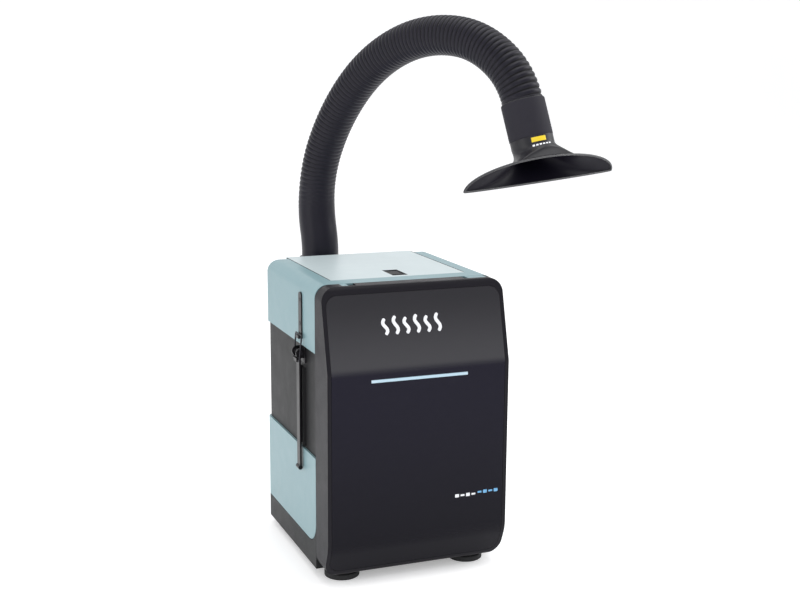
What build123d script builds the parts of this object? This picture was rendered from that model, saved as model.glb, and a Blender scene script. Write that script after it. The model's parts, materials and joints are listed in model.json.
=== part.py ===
from build123d import *
from math import atan2, cos, degrees, pi, radians, sin
import os

# A bench-side solder fume extractor: a stacked filter housing on four feet, with a
# self-supporting suction arm that rises behind it and ends in a wide fishtail nozzle.
# Millimetres, +Z up, +X to the right as a user faces the front, +Y to the back.
# The origin is on the floor, under the middle of the housing's width.

# ---------------------------------------------------------------- driving dimensions
HALF_W = 150.0
REAR_Y = 150.0
SEAM_Y = -123.0
FOOT_H = 15.0
BASE_TOP = 53.5
LOWER_TOP = 195.4
MID_TOP = 363.2
TOP_Z = 470.0
SKIN = 3.5
WALL = 3.0
GAP = 0.4

CORE_HALF_W = HALF_W - SKIN
CORE_REAR_Y = REAR_Y - SKIN
HOOD_EDGE_R = 20.0
REAR_CORNER_R = 12.0
WRAP_CORNER_R = 35.0

# front moulding, side view
FRONT_BOTTOM_Y = -160.0
FRONT_LOW_Y = -183.0
FRONT_LOW_Z = 66.0
RIDGE_Y = -184.0
RIDGE_Z = 343.0
FRONT_TOP_Y = -151.4
FASCIA_WALL = 5.5
FASCIA_TOP_R = 22.0
FASCIA_BOTTOM_R = 25.0
PANEL_THICK = 2.4
PANEL_HALF_W = 143.5
PANEL_Z = (24.0, 458.0)
PANEL_R = 18.0
RIM_SLOT_Y = -141.0
RIM_SLOTS = [(-111.3, -88.5), (91.3, 129.3)]
RIM_TONGUES = [(-111.0, -101.0), (98.3, 129.0)]
LIGHT_HALF_W = 80.0
LIGHT_Z = 328.0
LIGHT_H = 5.0

# lid and its sprung finger flap
LID_HALF_W = 113.6
LID_FRONT_Y = -90.6
LID_THICK = 4.0
LID_AXIS_Y = 154.5
LID_AXIS_Z = 464.0
HINGE_X = 92.0
FLAP_X = (-6.0, 20.0)
FLAP_Y = (-80.0, -29.0)
FLAP_AXIS_Y = -32.0
FLAP_AXIS_Z = 467.2
WELL_DEPTH = 14.0

# draw latches, measured outwards from the skin of one side
LATCH_Y = -52.5
LEVER_HALF_W = 7.5
LEVER_AXIS_U = 4.5
LEVER_AXIS_Z = 352.0
LEVER_END_Z = 163.0
BAIL_AXIS_U = 8.0
BAIL_AXIS_Z = 340.0
BAIL_HALF_W = 15.0
BAIL_WIRE_R = 1.3
CATCH_Z = 379.2
CATCH_BAR_U = 3.8
STRAP_TOP_Z = 448.0

# feet
FOOT_R = 28.0
FOOT_XY = [(x, y) for x in (-107.0, 107.0) for y in (-122.0, 85.0)]

# rear wall: exhaust grille, mains inlet and switch, case screws
GRILLE_X = (-76.0, 64.0)
GRILLE_Z = (88.0, 166.0)
INLET_X = 104.0
INLET_Z = 84.0
SWITCH_Z = 134.0
SCREW_XZ = [(x, z) for x in (-132.0, 132.0) for z in (62.0, 187.0)]

# blower, on a vertical axis
FAN_Y = 5.0
SCROLL_R = 82.0
IMPELLER_R = 62.0
INLET_R = 45.0
BLADE_COUNT = 28
FAN_POSTS = [(x, y) for x in (-52.0, 52.0) for y in (-52.0, 52.0)]

# suction arm: elbow behind the hood, then tangent arcs in one upright plane, as pairs of
# length and turn; the first arc leans the soft cuff back, the others lead over the top
ARM_X = -36.0
ARM_Y = 200.0
PORT_Z = 402.0
ELBOW_R = 44.0
DUCT_R = 33.0
DUCT_BORE_R = 29.5
CUFF_Z = 452.0
ARM_AZIMUTH = -63.6
ARM_RISE = 10.0
ARM_ARCS = [
    (47.0, -10.6),
    (151.0, 35.4),
    (135.0, 21.2),
    (125.0, 25.1),
    (115.0, 26.4),
    (99.0, 33.1),
    (68.0, 31.0),
]
CUFF_ARC = 82.0
CUFF_R = 32.5
HOSE_R = 31.5
HOSE_BORE_R = 29.0
BEND_HALF = 10.0

# nozzle, along its own axis from the end of the hose
NOZZLE_TURN = 8.5
NOZZLE_R = 33.2
NOZZLE_BORE_R = 31.2
SPIGOT_R = 31.14
SPIGOT_BORE_R = 26.5
SPIGOT_LEN = 34.0
SPIGOT_ROOT = 8.0
NECK_LEN = 72.0
MOUTH_AT = 108.0
MOUTH_FORWARD = 14.0
MOUTH_HALF_W = 160.0
MOUTH_HALF_D = 24.0
MOUTH_TILT = 50.0
NOZZLE_WALL = 2.4
FUNNEL_STEPS = (0.0, 0.15, 0.3, 0.45, 0.6, 0.75, 0.88, 1.0)


# ---------------------------------------------------------------- helpers
def slab(x0, x1, y0, y1, z0, z1):
    """Box between two corners."""
    size = Box(x1 - x0, y1 - y0, z1 - z0)
    return Pos((x0 + x1) / 2, (y0 + y1) / 2, (z0 + z1) / 2) * size


def upright(x, y, z0, z1, r):
    """Round bar standing on z0."""
    return Pos(x, y, (z0 + z1) / 2) * Cylinder(r, z1 - z0)


def bar_x(x0, x1, y, z, r):
    """Round bar along X."""
    return Pos((x0 + x1) / 2, y, z) * Rot(0, 90, 0) * Cylinder(r, x1 - x0)


def bar_y(x, y0, y1, z, r):
    """Round bar along Y."""
    return Pos(x, (y0 + y1) / 2, z) * Rot(90, 0, 0) * Cylinder(r, y1 - y0)


def side_prism(points, x0, x1):
    """Polygon given as (y, z) points, carried along X."""
    face = Plane.YZ * make_face(Polyline([*points, points[0]]))
    return Pos(x0, 0, 0) * extrude(face, amount=x1 - x0, dir=(1, 0, 0))


def front_prism(half_w, z0, z1, r_low, r_high, y0, y1):
    """Rounded rectangle seen from the front, carried along Y."""
    rect = slab(-half_w, half_w, y0, y1, z0, z1)
    low = rect.edges().filter_by(Axis.Y).filter_by(lambda e: e.center().Z < (z0 + z1) / 2)
    rect = fillet(low, r_low)
    high = rect.edges().filter_by(Axis.Y).filter_by(lambda e: e.center().Z > (z0 + z1) / 2)
    high = high.filter_by(lambda e: abs(e.length - (y1 - y0)) < 0.01 and abs(e.center().Z - z1) < 0.01)
    return fillet(high, r_high)


def rear_rounded(shape, r):
    """Round the two rear upright corners."""
    rear = shape.faces().sort_by(Axis.Y)[-1].center().Y
    edges = shape.edges().filter_by(Axis.Z).filter_by(lambda e: abs(e.center().Y - rear) < 0.01)
    return fillet(edges, r)


def both_sides(shape):
    """The shape and its mirror image across the middle."""
    return shape + mirror(shape, about=Plane.YZ)


# ---------------------------------------------------------------- base and lower housing
def base_tray():
    tray = rear_rounded(slab(-HALF_W, HALF_W, SEAM_Y, REAR_Y, FOOT_H, BASE_TOP), REAR_CORNER_R)
    inside = slab(-HALF_W + WALL, HALF_W - WALL, SEAM_Y + WALL, REAR_Y - WALL, FOOT_H + WALL, BASE_TOP + 1)
    tray -= rear_rounded(inside, REAR_CORNER_R - WALL)
    tray += slab(-128, 128, -150, SEAM_Y + 1, FOOT_H, FOOT_H + WALL)
    corner = Pos(0, SEAM_Y, BASE_TOP) * slab(CORE_HALF_W + 0.2, HALF_W, 0, WRAP_CORNER_R, 0, WRAP_CORNER_R)
    corner -= bar_x(0, 200, SEAM_Y + WRAP_CORNER_R, BASE_TOP + 1 + WRAP_CORNER_R, WRAP_CORNER_R + 1)
    tray += both_sides(corner)
    return tray - [upright(x, y, FOOT_H - 1, FOOT_H + 11, 2.6) for x, y in FOOT_XY]


def rubber_feet():
    feet = []
    for x, y in FOOT_XY:
        foot = upright(x, y, 0, 9, FOOT_R) + upright(x, y, 9, FOOT_H, FOOT_R - 3)
        foot = fillet(foot.edges().filter_by(GeomType.CIRCLE).group_by(Axis.Z)[0], 1.5)
        foot -= upright(x, y, -1, 7, 6) + upright(x, y, 0, FOOT_H + 1, 2.6)
        feet.append(foot)
    return Compound(children=feet)


def foot_screws():
    screws = []
    for x, y in FOOT_XY:
        head = upright(x, y, 3.6, 7, 4.8) - Pos(x, y, 4.2) * Box(1.2, 7, 1.4)
        screws.append(head + upright(x, y, 7, 24, 2.5))
    return Compound(children=screws)


def rear_holes(y0, y1, margin):
    """Cut-outs of the rear wall for grille, inlet, switch and screws."""
    x0, x1 = GRILLE_X
    z0, z1 = GRILLE_Z
    holes = slab(x0 + margin, x1 - margin, y0, y1, z0 + margin, z1 - margin)
    holes += slab(INLET_X - 22.4, INLET_X + 22.4, y0, y1, INLET_Z - 13.4, INLET_Z + 13.4)
    holes += slab(INLET_X - 9.9, INLET_X + 9.9, y0, y1, SWITCH_Z - 13.4, SWITCH_Z + 13.4)
    for x, z in SCREW_XZ:
        holes += bar_y(x, y0, y1, z, 2.1)
    return holes


def lower_housing():
    box = slab(-CORE_HALF_W, CORE_HALF_W, SEAM_Y, CORE_REAR_Y, BASE_TOP, LOWER_TOP + GAP)
    box = rear_rounded(box, REAR_CORNER_R - SKIN)
    half_w = CORE_HALF_W - WALL
    inside = slab(-half_w, half_w, SEAM_Y + WALL, CORE_REAR_Y - WALL, BASE_TOP + WALL, 300)
    box -= inside
    return box - rear_holes(CORE_REAR_Y - WALL - 1, CORE_REAR_Y + 1, 8)


def lower_wrap():
    """Coloured skin round the left, rear and right of the lower housing."""
    wrap = rear_rounded(slab(-HALF_W, HALF_W, SEAM_Y + GAP, REAR_Y, BASE_TOP + 1, LOWER_TOP), REAR_CORNER_R)
    core = slab(-CORE_HALF_W, CORE_HALF_W, SEAM_Y - 1, CORE_REAR_Y, BASE_TOP, LOWER_TOP + 1)
    wrap -= rear_rounded(core, REAR_CORNER_R - SKIN)
    low = wrap.edges().filter_by(Axis.X).filter_by(lambda e: e.center().Y < SEAM_Y + 1)
    wrap = fillet(low.filter_by(lambda e: e.center().Z < BASE_TOP + 2), WRAP_CORNER_R)
    return wrap - rear_holes(CORE_REAR_Y - 1, REAR_Y + 1, 0)


def exhaust_grille():
    x0, x1 = GRILLE_X[0] + 0.3, GRILLE_X[1] - 0.3
    z0, z1 = GRILLE_Z[0] + 0.3, GRILLE_Z[1] - 0.3
    grille = slab(x0, x1, CORE_REAR_Y, REAR_Y, z0, z1)
    for row in range(9):
        z = z0 + 9 + row * 7.4
        for x in (x0 + 9, (x0 + x1) / 2 + 2):
            grille -= slab(x, x + 59.0, CORE_REAR_Y - 1, REAR_Y + 1, z, z + 3.6)
    return grille


def mains_inlet():
    body = slab(INLET_X - 22, INLET_X + 22, 124, REAR_Y, INLET_Z - 13, INLET_Z + 13)
    body += slab(INLET_X - 25, INLET_X + 25, REAR_Y, REAR_Y + 2.5, INLET_Z - 16, INLET_Z + 16)
    body -= slab(INLET_X - 12.3, INLET_X + 12.3, 132, 160, INLET_Z - 8.5, INLET_Z + 8.5)
    for x, z in ((-7, -2), (0, 2), (7, -2)):
        body += slab(INLET_X + x - 1, INLET_X + x + 1, 131, 145.5, INLET_Z + z - 2, INLET_Z + z + 2)
    return body


def switch_bezel():
    bezel = slab(INLET_X - 9.5, INLET_X + 9.5, 130, REAR_Y, SWITCH_Z - 13, SWITCH_Z + 13)
    bezel += slab(INLET_X - 11.5, INLET_X + 11.5, REAR_Y, REAR_Y + 2, SWITCH_Z - 15, SWITCH_Z + 15)
    bezel -= slab(INLET_X - 7.2, INLET_X + 7.2, 136, 160, SWITCH_Z - 11.4, SWITCH_Z + 11.4)
    return bezel - bar_x(INLET_X - 9, INLET_X + 9, 144, SWITCH_Z, 1.56)


def power_rocker():
    """Two-faced rocker on two side stubs; at rest its upper half is pressed in."""
    y = 144.0
    face = [(y - 2, -10.4), (y + 7, -10.4), (y + 5.4, 0), (y + 7, 10.4), (y - 2, 10.4), (y - 5, 0)]
    rocker = side_prism(face, INLET_X - 6.8, INLET_X + 6.8)
    rocker = Pos(0, y, 0) * Rot(8, 0, 0) * Pos(0, -y, 0) * rocker
    rocker = Pos(0, 0, SWITCH_Z) * rocker
    return rocker + bar_x(INLET_X - 8.8, INLET_X + 8.8, y, SWITCH_Z, 1.5)


def case_screws():
    screws = []
    for x, z in SCREW_XZ:
        head = bar_y(x, REAR_Y, REAR_Y + 2.2, z, 4) - Pos(x, REAR_Y + 2, z) * Box(5, 1.2, 1.1)
        head -= Pos(x, REAR_Y + 2, z) * Box(1.1, 1.2, 5)
        screws.append(head + bar_y(x, 134, REAR_Y, z, 2))
    return Compound(children=screws)


# ---------------------------------------------------------------- blower and electronics
def blower_housing():
    z0, z1 = 106.0, 166.0
    outlet_y = CORE_REAR_Y - WALL - 0.5
    scroll = upright(0, FAN_Y, z0, z1, SCROLL_R) + slab(12, SCROLL_R, FAN_Y, outlet_y, z0, z1)
    hollow = upright(0, FAN_Y, z0 + 2.5, z1 + 1, SCROLL_R - 2.5)
    hollow += slab(14.5, SCROLL_R - 2.5, FAN_Y, 160, z0 + 2.5, z1 - 2.5)
    scroll -= hollow
    scroll += slab(12, SCROLL_R, FAN_Y + SCROLL_R, outlet_y, z1 - 2.5, z1)
    scroll -= upright(0, FAN_Y, z0 - 1, z0 + 4, 6)
    for x, y in FAN_POSTS:
        scroll += upright(x, FAN_Y + y, BASE_TOP + WALL + 6, z0 + 1, 6)
    return scroll


def blower_cover():
    cover = upright(0, FAN_Y, 166, 169, SCROLL_R) - upright(0, FAN_Y, 160, 180, INLET_R)
    ring = upright(0, FAN_Y, 168, LOWER_TOP + GAP, INLET_R + 3) - upright(0, FAN_Y, 160, 210, INLET_R)
    return cover + ring


def impeller():
    z0, z1 = 112.0, 158.0
    wheel = upright(0, FAN_Y, z0, z0 + 2.5, IMPELLER_R) + upright(0, FAN_Y, z0, z0 + 24, 11)
    rim = upright(0, FAN_Y, z1 - 2, z1, IMPELLER_R) - upright(0, FAN_Y, z1 - 3, z1 + 1, INLET_R + 1)
    blade = Pos(IMPELLER_R - 9.5, 0, (z0 + z1) / 2) * Rot(0, 0, 28) * Box(15, 1.6, z1 - z0 - 1)
    blades = [Pos(0, FAN_Y, 0) * Rot(0, 0, n * 360 / BLADE_COUNT) * blade for n in range(BLADE_COUNT)]
    wheel = wheel + rim + blades
    return wheel - upright(0, FAN_Y, z0 - 1, z0 + 30, 4)


def motor_shaft():
    return upright(0, FAN_Y, 98, 136, 4)


def blower_motor():
    motor = upright(0, FAN_Y, 63, 105.5, 41)
    motor = fillet(motor.edges().filter_by(GeomType.CIRCLE), 3)
    for n in range(16):
        fin = Pos(0, FAN_Y, 84) * Rot(0, 0, n * 22.5) * Pos(41, 0, 0) * Box(4, 2.5, 26)
        motor += fin
    return motor - upright(0, FAN_Y, 90, 110, 4.06)


def motor_grommets():
    floor = BASE_TOP + WALL
    return Compound(children=[upright(x, FAN_Y + y, floor, floor + 6, 8) for x, y in FAN_POSTS])


def control_board():
    board = slab(-126, -6, -96, 60, 28, 29.6)
    board += slab(-118, -86, -20, 22, 29.6, 46)
    board += slab(-78, -66, -84, -60, 29.6, 40)
    board += slab(-52, -24, 14, 44, 29.6, 44)
    for n in range(4):
        board += upright(-50 + 11 * n, -50, 29.6, 44, 4.6)
    for x in (-120.0, -12.0):
        for y in (-90.0, 54.0):
            board += upright(x, y, FOOT_H + WALL, 28, 3.5)
    return board


# ---------------------------------------------------------------- filter housing and filters
def filter_housing():
    z0, z1 = LOWER_TOP + GAP, MID_TOP - 0.2
    box = rear_rounded(slab(-CORE_HALF_W, CORE_HALF_W, SEAM_Y, CORE_REAR_Y, z0, z1), REAR_CORNER_R - SKIN)
    box -= slab(-CORE_HALF_W + WALL, CORE_HALF_W - WALL, SEAM_Y + WALL, CORE_REAR_Y - WALL, z0 + WALL, 400)
    box -= upright(0, FAN_Y, z0 - 1, z0 + 5, INLET_R)
    rib = slab(CORE_HALF_W, HALF_W + 1.6, LATCH_Y - 11.5, LATCH_Y - 9.5, z0 + 4, 328)
    rib += slab(CORE_HALF_W, HALF_W + 1.6, LATCH_Y + 9.5, LATCH_Y + 11.5, z0 + 4, 328)
    return box + both_sides(rib)


def filter_gasket():
    ring = slab(-136, 136, -112, 134, LOWER_TOP + GAP + WALL, 205)
    return ring - slab(-124, 124, -100, 122, 190, 210)


def filter_case():
    case = slab(-138, 138, -115, 137, 205, 354) - slab(-135, 135, -112, 134, 208, 360)
    return case - slab(-124, 124, -100, 122, 200, 210)


def carbon_bed():
    return slab(-134.5, 134.5, -111.5, 133.5, 208.2, 244)


def hepa_pleats():
    """One sheet folded to and fro across the case; its steep folds make it thin."""
    pleats = 30
    x0, x1 = -134.0, 134.0
    low, high, rise = 246.0, 314.0, 12.0
    step = (x1 - x0) / pleats
    line = [(x0 + n * step, low if n % 2 == 0 else high) for n in range(pleats + 1)]
    outline = line + [(x, z + rise) for x, z in reversed(line)]
    face = Plane.XZ * make_face(Polyline([*outline, outline[0]]))
    return Pos(0, 133, 0) * extrude(face, amount=244)


def prefilter_mat():
    return slab(-134, 134, -111, 133, 328, 348)


# ---------------------------------------------------------------- hood and lid
def upper_hood():
    hood = rear_rounded(slab(-HALF_W, HALF_W, SEAM_Y, REAR_Y, MID_TOP + GAP, TOP_Z), REAR_CORNER_R)
    long_edges = hood.edges().filter_by(Axis.Y).filter_by(lambda e: e.center().Z > TOP_Z - 0.1)
    hood = fillet(long_edges, HOOD_EDGE_R)
    hood -= slab(-CORE_HALF_W, CORE_HALF_W, SEAM_Y + WALL, CORE_REAR_Y, 300, TOP_Z - HOOD_EDGE_R)
    flat_half_w = HALF_W - HOOD_EDGE_R
    hood -= slab(-flat_half_w, flat_half_w, SEAM_Y + WALL, CORE_REAR_Y, 300, TOP_Z - LID_THICK)
    hood -= slab(-LID_HALF_W - GAP, LID_HALF_W + GAP, LID_FRONT_Y - GAP, 160, TOP_Z - LID_THICK - GAP, 480)
    lug = slab(-CORE_HALF_W, CORE_HALF_W, SEAM_Y + WALL, CORE_REAR_Y, 366, 368.5)
    lug -= slab(-136, 136, -112, 136, 360, 370)
    ledge = slab(-LID_HALF_W - 6, LID_HALF_W + 6, LID_FRONT_Y - 6, CORE_REAR_Y, 461, TOP_Z - LID_THICK - 0.2)
    ledge -= slab(-LID_HALF_W + 5, LID_HALF_W - 5, LID_FRONT_Y + 5, CORE_REAR_Y - 5, 450, 480)
    hood = hood + lug + ledge
    for x0, x1 in RIM_TONGUES:
        hood += slab(x0, x1, RIM_SLOT_Y + GAP, SEAM_Y + 1, TOP_Z - 2.2, TOP_Z - 0.2)
    return hood - bar_y(ARM_X, CORE_REAR_Y - 8, REAR_Y + 1, PORT_Z, DUCT_R + 0.1)


def hood_gasket():
    ring = slab(-146, 146, SEAM_Y + WALL + 0.2, 146, MID_TOP - 0.2, 366)
    return ring - slab(-137.5, 137.5, -113.5, 137.5, 350, 370)


def knuckle(x0, x1):
    return bar_x(x0, x1, LID_AXIS_Y, LID_AXIS_Z, 3.5)


def lid():
    panel = slab(-LID_HALF_W, LID_HALF_W, LID_FRONT_Y, REAR_Y, TOP_Z - LID_THICK, TOP_Z)
    panel -= slab(FLAP_X[0], FLAP_X[1], FLAP_Y[0], FLAP_Y[1], 460, 480)
    for x in (-HINGE_X, HINGE_X):
        panel += slab(x - 7, x + 7, REAR_Y - 1, LID_AXIS_Y, 466.2, 467.4)
        panel += knuckle(x - 7, x + 7)
    for x in (-HINGE_X, HINGE_X):
        panel -= bar_x(x - 8, x + 8, LID_AXIS_Y, LID_AXIS_Z, 1.56)
    for x in (-70.0, 70.0):
        panel += slab(x - 1.2, x + 1.2, LID_FRONT_Y + 12, 126, 461.5, TOP_Z - LID_THICK)
    return panel


def lid_hinge_leaves():
    leaves = []
    for x in (-HINGE_X, HINGE_X):
        leaf = slab(x - 15, x + 15, REAR_Y, REAR_Y + 1.2, 444, 462)
        for x0, x1 in ((x - 15, x - 7.4), (x + 7.4, x + 15)):
            leaf += slab(x0, x1, REAR_Y, LID_AXIS_Y, 460.8, 462)
            leaf += knuckle(x0, x1)
        leaves.append(leaf - bar_x(x - 16, x + 16, LID_AXIS_Y, LID_AXIS_Z, 1.5))
    return Compound(children=leaves)


def lid_hinge_pins():
    pins = [bar_x(x - 15.5, x + 15.5, LID_AXIS_Y, LID_AXIS_Z, 1.5) for x in (-HINGE_X, HINGE_X)]
    return Compound(children=pins)


def lid_pull_well():
    """Cup under the lid that gives the fingers room behind the flap."""
    x0, x1 = FLAP_X
    y0, y1 = FLAP_Y
    top = TOP_Z - LID_THICK
    well = slab(x0 - 3, x1 + 3, y0 - 3, y1 + 3, top - WELL_DEPTH, top)
    well += slab(x0 + 0.01, x1 - 0.01, y0 + 0.01, y1 - 0.01, top, TOP_Z - 0.2)
    well -= slab(x0 + 1.2, x1 - 1.2, y0 + 1.2, y1 - 1.2, top - WELL_DEPTH + 1.5, TOP_Z + 1)
    return well - bar_x(x0 - 1, x1 + 1, FLAP_AXIS_Y, FLAP_AXIS_Z, 1.0)


def lid_pull_flap():
    x0, x1 = FLAP_X
    flap = slab(x0 + 1.8, x1 - 1.8, FLAP_Y[0] + 1.8, FLAP_AXIS_Y, 467.3, 468.8)
    flap += bar_x(x0 + 1.8, x1 - 1.8, FLAP_AXIS_Y, FLAP_AXIS_Z, 1.6)
    for n in range(3):
        y = FLAP_Y[0] + 6 + 4 * n
        flap += slab(x0 + 4, x1 - 4, y, y + 1.2, 468.8, 469.3)
    return flap - bar_x(x0, x1, FLAP_AXIS_Y, FLAP_AXIS_Z, 1.06)


def lid_flap_pin():
    return bar_x(FLAP_X[0] + 0.05, FLAP_X[1] - 0.05, FLAP_AXIS_Y, FLAP_AXIS_Z, 1.0)


# ---------------------------------------------------------------- front
def front_solid(inset, top, bottom):
    """Side profile of the front moulding, moved back by inset, carried along X."""
    back = SEAM_Y - GAP
    outline = [
        (back, bottom),
        (FRONT_BOTTOM_Y + inset, bottom),
        (FRONT_LOW_Y + inset, FRONT_LOW_Z),
        (RIDGE_Y + inset, RIDGE_Z),
        (FRONT_TOP_Y + inset, top),
        (back, top),
    ]
    solid = side_prism(outline, -HALF_W, HALF_W)
    for z, r in ((RIDGE_Z, 14.0), (FRONT_LOW_Z, 60.0)):
        edge = solid.edges().filter_by(Axis.X).filter_by(lambda e: abs(e.center().Z - z) < 0.1)
        solid = fillet(edge, r)
    return solid


def fascia_frame():
    solid = front_solid(0, TOP_Z, FOOT_H)
    for z, r in ((TOP_Z, 9.0), (FOOT_H, 9.0)):
        edge = solid.edges().filter_by(Axis.X).filter_by(
            lambda e: abs(e.center().Z - z) < 0.1 and e.center().Y < -140
        )
        solid = fillet(edge, r)
    solid &= front_prism(HALF_W, FOOT_H, TOP_Z, FASCIA_BOTTOM_R, FASCIA_TOP_R, -200, -100)
    hollow = front_solid(FASCIA_WALL, TOP_Z - WALL, FOOT_H + WALL)
    hollow &= front_prism(HALF_W - WALL, FOOT_H + WALL, TOP_Z - WALL, 22, 19, -200, -100)
    solid -= hollow
    solid -= slab(-128.3, 128.3, -150.3, -100, FOOT_H - 1, FOOT_H + WALL + 1)
    solid -= panel_solid(GAP)
    for x0, x1 in RIM_SLOTS:
        solid -= slab(x0, x1, RIM_SLOT_Y, -100, TOP_Z - 2.6, TOP_Z + 1)
    return solid - light_slot()


def panel_solid(margin):
    """The part of the front within a rounded rectangle, down to the panel's depth."""
    front = front_solid(0, TOP_Z, FOOT_H) - front_solid(PANEL_THICK, TOP_Z, FOOT_H)
    z0, z1 = PANEL_Z
    window = front_prism(
        PANEL_HALF_W + margin, z0 - margin, z1 + margin, PANEL_R + margin, PANEL_R + margin, -210, -144
    )
    return front & window


def light_slot():
    return slab(
        -LIGHT_HALF_W - 0.2, LIGHT_HALF_W + 0.2, -200, -165,
        LIGHT_Z - LIGHT_H / 2 - 0.2, LIGHT_Z + LIGHT_H / 2 + 0.2,
    )


def front_panel():
    return panel_solid(0) - light_slot()


def light_guide():
    half = LIGHT_H / 2
    return slab(-LIGHT_HALF_W, LIGHT_HALF_W, -183.8, -173.6, LIGHT_Z - half, LIGHT_Z + half)


def led_board():
    board = slab(-86, 86, -172, -170.4, LIGHT_Z - 10, LIGHT_Z + 10)
    for n in range(12):
        x = -71.5 + 13 * n
        board += slab(x - 1.8, x + 1.8, -173.2, -172, LIGHT_Z - 1.6, LIGHT_Z + 1.6)
    for x in (-80.0, 80.0):
        board += slab(x - 3, x + 3, -177.8, -172, LIGHT_Z - 9, LIGHT_Z - 4)
    return board


# ---------------------------------------------------------------- draw latches
def outward(shape, side):
    """Place a latch piece, built with X as distance outwards from the skin, on one side."""
    placed = Pos(HALF_W, LATCH_Y, 0) * shape
    return placed if side > 0 else mirror(placed, about=Plane.YZ)


def outward_pair(shape):
    """The same fixed latch piece on both sides, as two solids."""
    return Compound(children=[outward(shape, -1), outward(shape, 1)])


def latch_straps():
    strap = slab(0, 2.2, -LEVER_HALF_W, LEVER_HALF_W, CATCH_Z - 5, STRAP_TOP_Z)
    strap = fillet(strap.edges().filter_by(Axis.X).group_by(Axis.Z)[-1], 6.5)
    strap += slab(2.2, 7, -6.5, 6.5, CATCH_Z - 5, CATCH_Z)
    for z in (398.0, 436.0):
        strap += Pos(2.2, 0, z) * Rot(0, 90, 0) * Cylinder(3, 1.2)
    return outward_pair(strap)


def latch_brackets():
    bracket = slab(-SKIN, -SKIN + 2, -15, 15, 336, 361.5)
    for y in (-12.3, 9.3):
        ear = slab(-SKIN + 1, LEVER_AXIS_U, y, y + 3, LEVER_AXIS_Z - 8, LEVER_AXIS_Z + 8)
        bracket += ear + bar_y(LEVER_AXIS_U, y, y + 3, LEVER_AXIS_Z, 8)
    return outward_pair(bracket - bar_y(LEVER_AXIS_U, -20, 20, LEVER_AXIS_Z, 2.0))


def latch_pins():
    pin = bar_y(LEVER_AXIS_U, -13, 13, LEVER_AXIS_Z, 2.0)
    pin += bar_y(LEVER_AXIS_U, -13.6, -12.3, LEVER_AXIS_Z, 3.2)
    pin += bar_y(LEVER_AXIS_U, 12.3, 13.6, LEVER_AXIS_Z, 3.2)
    return outward_pair(pin)


def latch_lever(side):
    lever = slab(3, 6, -LEVER_HALF_W, LEVER_HALF_W, LEVER_END_Z, LEVER_AXIS_Z)
    lever += bar_y(LEVER_AXIS_U, -9, 9, LEVER_AXIS_Z, 4.5)
    lever += slab(3, BAIL_AXIS_U + 2.6, -LEVER_HALF_W, LEVER_HALF_W, BAIL_AXIS_Z - 3, BAIL_AXIS_Z + 3)
    lever += bar_y(LEVER_AXIS_U + 0.6, -LEVER_HALF_W, LEVER_HALF_W, LEVER_END_Z, 3.6)
    lever -= bar_y(LEVER_AXIS_U, -10, 10, LEVER_AXIS_Z, 2.06)
    lever -= bar_y(BAIL_AXIS_U, -10, 10, BAIL_AXIS_Z, BAIL_WIRE_R + 0.06)
    return outward(lever, side)


def latch_bail(side):
    """Wire loop: axle through the lever, two legs outside the ears, cross bar on the catch."""
    top_z = CATCH_Z + 0.1 + BAIL_WIRE_R
    rise = top_z - BAIL_AXIS_Z
    lean = degrees(atan2(CATCH_BAR_U - BAIL_AXIS_U, rise))
    bail = bar_y(BAIL_AXIS_U, -BAIL_HALF_W, BAIL_HALF_W, BAIL_AXIS_Z, BAIL_WIRE_R)
    bail += bar_y(CATCH_BAR_U, -BAIL_HALF_W, BAIL_HALF_W, top_z, BAIL_WIRE_R)
    length = rise / cos(radians(lean))
    for y in (-BAIL_HALF_W, BAIL_HALF_W):
        leg = Pos(BAIL_AXIS_U, y, BAIL_AXIS_Z) * Rot(0, lean, 0) * Pos(0, 0, length / 2)
        bail += leg * Cylinder(BAIL_WIRE_R, length)
        bail += Pos(BAIL_AXIS_U, y, BAIL_AXIS_Z) * Sphere(BAIL_WIRE_R)
        bail += Pos(CATCH_BAR_U, y, top_z) * Sphere(BAIL_WIRE_R)
    return outward(bail, side)


# ---------------------------------------------------------------- suction arm
ARM_DIR = Vector(cos(radians(ARM_AZIMUTH)), sin(radians(ARM_AZIMUTH)), 0)
UP = Vector(0, 0, 1)


def heading(angle):
    """Unit vector in the arm's plane; 90 is straight up, 0 is level and forwards."""
    return ARM_DIR * cos(radians(angle)) + UP * sin(radians(angle))


def arm_state(index, along):
    """Point and heading at a distance along one of the arm's arcs."""
    point = Vector(ARM_X, ARM_Y, CUFF_Z + ARM_RISE)
    angle = 90.0
    for n, (length, turn) in enumerate(ARM_ARCS):
        part = along if n == index else length
        bend = turn * part / length
        chord = part if bend == 0 else 2 * length / radians(turn) * sin(radians(bend) / 2)
        point = point + heading(angle - bend / 2) * chord
        angle -= bend
        if n == index:
            break
    return point, angle


def arc_tube(index, start, stop, r_out, r_in):
    """Curved tube along one arc, between two distances along it."""
    p0, angle = arm_state(index, start)
    pm, _ = arm_state(index, (start + stop) / 2)
    p1, _ = arm_state(index, stop)
    across = Plane(p0, x_dir=ARM_DIR.cross(UP), z_dir=heading(angle))
    return sweep(across * (Circle(r_out) - Circle(r_in)), path=ThreePointArc(p0, pm, p1))


def hose_port():
    flange = bar_y(ARM_X, REAR_Y, REAR_Y + 4, PORT_Z, 42)
    neck = bar_y(ARM_X, REAR_Y - 12, REAR_Y + 1, PORT_Z, DUCT_R)
    port = flange + neck - bar_y(ARM_X, 130, 160, PORT_Z, DUCT_BORE_R)
    for n in range(4):
        a = radians(45 + 90 * n)
        port += bar_y(ARM_X + 37.8 * cos(a), REAR_Y + 4, REAR_Y + 5.6, PORT_Z + 37.8 * sin(a), 3)
    return port


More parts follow.
